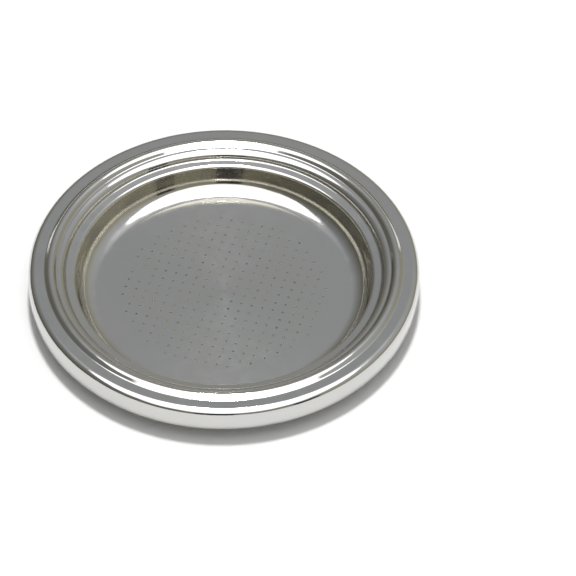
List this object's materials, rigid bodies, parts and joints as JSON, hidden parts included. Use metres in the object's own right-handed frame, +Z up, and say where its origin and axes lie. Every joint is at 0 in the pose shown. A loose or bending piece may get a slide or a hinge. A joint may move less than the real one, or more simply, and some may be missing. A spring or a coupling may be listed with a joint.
{
  "type": "espresso pod filter basket",
  "caption": "Shallow round pressed-steel pod filter basket with a skirted flat rim, a raised bead, a stepped pod seat and a finely perforated flat floor.",
  "frame": {"origin": "centre of the floor's underside, on the surface that the dish stands on", "axes": "+Z up along the dish's axis, out of its mouth"},
  "size_m": [0.07, 0.07, 0.0075],
  "materials": {
    "steel": "polished stainless steel on the rim, seat and wall, and finely brushed on the floor"
  },
  "bodies": {
    "root": {"basket": "steel"}
  },
  "joints": []
}
